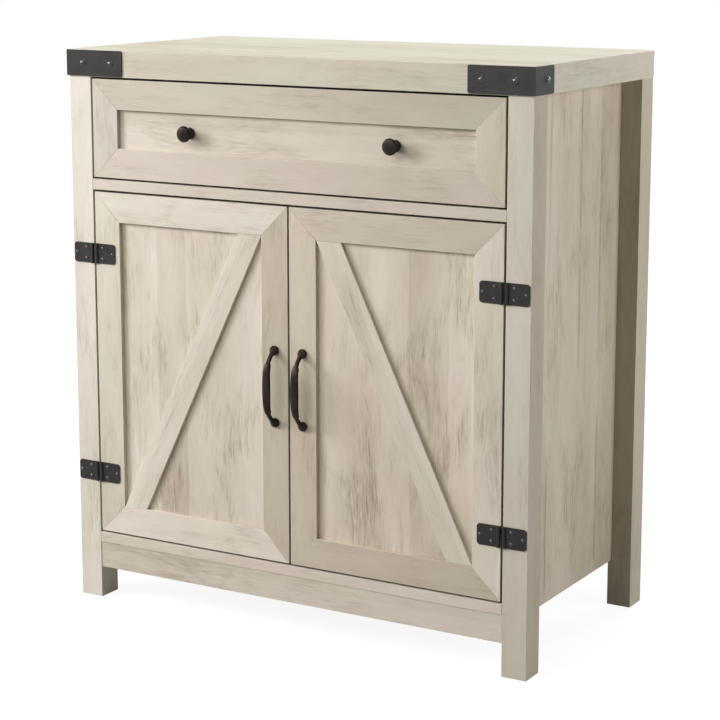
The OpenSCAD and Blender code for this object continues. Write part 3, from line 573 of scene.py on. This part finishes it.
def eased(node, materials, arris, ease, choose=None, least=SHORT_ARRIS):
    """A copy of the node with its long arrises rounded over and given a finish of their own.
    choose(centre, normal) gives the number of a face's material."""
    bm = clean_copy(node)
    if choose:
        for face in bm.faces:
            face.material_index = choose(face.calc_center_median(), face.normal)
    bmesh.ops.bevel(
        bm,
        geom=long_arrises(bm, least),
        offset=ease,
        segments=2,
        profile=0.5,
        affect="EDGES",
        material=len(materials),
    )
    finish_piece(bm, node, [*materials, arris])


def plain(node, material):
    """A copy of a small part as it is, with its round faces shaded smooth."""
    finish_piece(clean_copy(node), node, [material])


def lean(node):
    """How far the node's longest edge leans from upright, towards +X."""
    mesh = frame["nodes"][node].data
    ends = [[mesh.vertices[i].co for i in edge.vertices] for edge in mesh.edges]
    low, high = max(ends, key=lambda pair: (pair[1] - pair[0]).length)
    run = high - low
    return math.atan(run.x / run.z)


def level(amount, red=0.0, blue=0.0):
    """A tint that makes a board paler or darker, with a little more or less red and blue."""
    return (amount * (1 + red), amount, amount * (1 + blue))


# ------------------------------------------------------------------ the carcass

# The tints of a leg's face and of its side. Besides each leg's own print tone they paint light and
# shade: the front left leg is paler as painted light, the rear legs and the front right leg's side are
# darker as painted shade.
REAR_LEG_SHADE_TINTS = (level(0.70, 0.01, -0.05), level(0.80, -0.01, -0.07))
LEG_TINTS = {
    "front_left_leg": (level(1.18, -0.03, 0.05), level(1.18, -0.03, 0.05)),
    "front_right_leg": (level(1.01, -0.02, 0.0), level(0.74, 0.03, -0.04)),
    "rear_left_leg": REAR_LEG_SHADE_TINTS,
    "rear_right_leg": REAR_LEG_SHADE_TINTS,
}
FRONT_BOARD_TINTS = {
    "divider_panel": level(0.99, 0.01, 0.02),
    "bottom_panel": level(1.07, 0.02, 0.02),
    "front_apron": level(1.07, 0.0, 0.02),
}
SIDE_PANEL_TINT = level(0.99, 0.02, -0.02)
INSIDE_TINT = level(0.98)
# The tint that makes beech of the oak finish
BEECH_TINT = (1.06, 0.95, 0.76)


def dress_top(arris):
    """The top's face is a sheet of its own, and its edges are banded."""
    # Besides the banding's own tone, the sheet's and the end band's paler tints are painted light from
    # above and from the right
    sheet_tint = level(1.17, -0.04, -0.05)
    front_tint = level(0.86, -0.01, -0.04)
    end_tint = level(1.13, -0.05, 0.03)
    finishes = [
        oak("oak_top_sheet", "xyz", 3.1, sheet_tint, strong=0.75, plank=0.08),
        oak("oak_top_band", "xzy", 6.3, front_tint, strong=0.9, plank=0.20),
        oak("oak_top_end_band", "yzx", 8.9, end_tint, strong=0.5, plank=0.20),
    ]

    def choose(centre, normal):
        if abs(normal.z) > FACING:
            return 0
        return 1 if abs(normal.y) > FACING else 2

    eased("top_panel", finishes, arris, TOP_EASE, choose)


def dress_legs(arris):
    """Each leg has one finish on its front and back, and another on its two sides, so that face and
    side can carry different painted light and shade.
    """

    def face_or_side(centre, normal):
        return 1 if abs(normal.x) > FACING else 0

    for i, (leg, (face_tint, side_tint)) in enumerate(LEG_TINTS.items()):
        seed = 5.3 + 2.7 * i
        face = oak(f"oak_{leg}_face", "zxy", seed, face_tint, strong=0.8, plank=0.20)
        side = oak(f"oak_{leg}_side", "zyx", seed + 0.9, side_tint, strong=0.8, plank=0.20)
        eased(leg, [face, side], arris, BOARD_EASE, face_or_side)


def dress_boards(arris):
    """The planked side panels, the boards of the front and those inside."""
    for i, side in enumerate(("left_side_panel", "right_side_panel")):
        seed = 17.9 + 3.3 * i
        finish = oak("oak_" + side, "zyx", seed, SIDE_PANEL_TINT, strong=1.25, plank=0.075, joint=0.42)
        eased(side, [finish], arris, BOARD_EASE)
    for i, (board, tint) in enumerate(FRONT_BOARD_TINTS.items()):
        finish = oak("oak_" + board, "xzy", 23.7 + 4.1 * i, tint, strong=0.9)
        eased(board, [finish], arris, BOARD_EASE)
    inside = oak("oak_inside", "xyz", 41.3, INSIDE_TINT, strong=0.9)
    eased("back_rail", [inside], arris, BOARD_EASE)
    eased("shelf", [inside], arris, BOARD_EASE)


# ------------------------------------------------------------------ the drawer and the doors

# Painted shade for the gaps: the outer edges round a door or a drawer front are darker than its face,
# so that the gaps round it read dark
GAP_SHADE_TINT = level(0.66)


def dress_front(name, seed, panel_order, rails, stiles, panel, arris):
    """A mitred frame of four boards round a panel.  rails holds the tints of the upper and the
    lower board, stiles those of the left and the right one."""
    low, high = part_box(name + "_rails")
    middle = (low + high) / 2
    half = (high - low) / 2

    def upper_or_lower(centre, normal):
        if abs(centre.z - middle.z) > half.z - ON_RIM:
            return 2
        return 0 if centre.z > middle.z else 1

    def left_or_right(centre, normal):
        if abs(centre.x - middle.x) > half.x - ON_RIM:
            return 2
        return 0 if centre.x < middle.x else 1

    # The third finish of each board goes on the frame's outer edges and is painted shade for the gaps
    # round the front
    rail_oak = [
        oak(f"oak_{name}_rail_{i}", "xzy", seed + 1.3 * i, tint, strong=0.9, plank=0.15)
        for i, tint in enumerate((*rails, GAP_SHADE_TINT))
    ]
    stile_oak = [
        oak(f"oak_{name}_stile_{i}", "zxy", seed + 3.1 + 1.7 * i, tint, strong=0.9, plank=0.15)
        for i, tint in enumerate((*stiles, GAP_SHADE_TINT))
    ]
    eased(name + "_rails", rail_oak, arris, FRAME_EASE, upper_or_lower)
    eased(name + "_stiles", stile_oak, arris, FRAME_EASE, left_or_right)
    panel_oak = oak(f"oak_{name}_panel", panel_order, seed + 7.7, panel, strong=1.3, joint=0.09)
    eased(name + "_panel", [panel_oak], arris, THIN_EASE)


def dress_drawer(arris):
    """The drawer's framed front and its box."""
    dress_front(
        "drawer_front",
        seed=51.3,
        panel_order="xzy",
        rails=(level(0.81, 0.01, -0.04), level(0.90, 0.03, 0.01)),
        stiles=(level(0.96, -0.04, 0.01), level(0.97, -0.01, -0.04)),
        panel=level(0.90, 0.04, 0.0),
        arris=arris,
    )
    ends = oak("oak_drawer_box", "xyz", 61.7, INSIDE_TINT, strong=0.8)
    sides = oak("oak_drawer_sides", "yzx", 63.9, INSIDE_TINT, strong=0.8)
    eased("drawer_box_ends", [ends], arris, BOARD_EASE)
    eased("drawer_sides", [sides], arris, BOARD_EASE)


def dress_door(name, seed, rails, stiles, panel, brace, arris):
    """A framed front with a leaning brace, whose grain runs along it."""
    dress_front(name, seed, "zxy", rails, stiles, panel, arris)
    node = name + "_brace"
    finish = oak("oak_" + node, "zxy", seed + 9.1, brace, strong=0.7, plank=0.15, turn=-lean(node))
    eased(node, [finish], arris, FRAME_EASE)


def dress_doors(arris):
    dress_door(
        "left_door",
        seed=81.3,
        rails=(level(1.15, 0.0, 0.06), level(1.23, 0.01, 0.06)),
        stiles=(level(1.07, -0.03, -0.01), level(0.83, 0.04, -0.05)),
        panel=level(1.01, 0.01, 0.0),
        brace=level(1.16, 0.0, 0.04),
        arris=arris,
    )
    dress_door(
        "right_door",
        seed=93.7,
        rails=(level(0.87, 0.04, -0.01), level(0.86, 0.05, -0.04)),
        stiles=(level(0.92, 0.04, -0.03), level(1.13, 0.0, 0.02)),
        panel=level(1.04, 0.03, 0.0),
        brace=level(1.12, -0.01, 0.01),
        arris=arris,
    )


# ------------------------------------------------------------------ metal and the rest

# The grey of the hinge leaves, of the rubbed corners of all plates, and of the tacks' heads
PLATE_GREY = 0.018
PLATE_ARRIS_GREY = 0.060
HEAD_GREY = 0.006
# The corner brackets' left plate, right plate and side returns. The greys paint light and shade: the
# right plate is paler as a painted sheen and the side returns darker as painted shade.
BRACKET_SHEEN_AND_SHADE_GREYS = {"left": 0.013, "right": 0.028, "return": 0.009}
HINGE_LEAVES = ("leg_hinge_leaves", "left_door_hinge_leaves", "right_door_hinge_leaves")


def dress_plate(node, finishes, arris, choose=None):
    eased(node, finishes, arris, THIN_EASE, choose, least=SHORT_METAL_ARRIS)


def dress_plates():
    """The brackets and the hinge leaves, which have crisp corners rubbed a little paler."""
    plate = iron("black_iron", PLATE_GREY)
    arris = iron("black_iron_arris", PLATE_ARRIS_GREY)
    brackets = [iron("black_iron_bracket_" + part, grey) for part, grey in BRACKET_SHEEN_AND_SHADE_GREYS.items()]

    # Painted light: the right plates get the pale grey of a painted sheen, the side returns the dark
    # grey of painted shade
    def choose(centre, normal):
        if abs(normal.x) > FACING:
            return 2
        return 0 if centre.x < 0 else 1

    dress_plate("corner_brackets", brackets, arris, choose)
    for node in HINGE_LEAVES:
        dress_plate(node, [plate], arris)


def dress_small_metal():
    """Everything else of metal: the tacks, pulls, knobs, hinges, runners and fasteners."""
    finishes = {
        "black_iron": iron("black_iron_heads", HEAD_GREY, rough=(0.12, 0.18), shine=0.7),
        "dark_bronze": bronze("dark_bronze"),
        "zinc_steel": zinc("zinc_steel"),
    }
    for node, slot in SLOTS.items():
        if slot in finishes and node not in ("corner_brackets", *HINGE_LEAVES):
            plain(node, finishes[slot])


def dress_rest():
    """The hardboard, the magnetic catch and the dowels."""
    fibre = hardboard("hardboard")
    eased("back_panel", [fibre], fibre, THIN_EASE)
    eased("drawer_bottom", [fibre], fibre, THIN_EASE)
    plain("magnetic_catch", nylon("nylon"))
    plain("dowels", oak("beech", "zxy", 71.0, BEECH_TINT, strong=0.5))


make_camera()
make_world()
make_lights()
make_floor()
# The pale arris finish, a painted highlight on the wooden edges
ARRIS = oak_arris("oak_arris")
dress_top(ARRIS)
dress_legs(ARRIS)
dress_boards(ARRIS)
dress_drawer(ARRIS)
dress_doors(ARRIS)
dress_plates()
dress_small_metal()
dress_rest()

scene = bpy.context.scene
scene.view_settings.view_transform = "Standard"
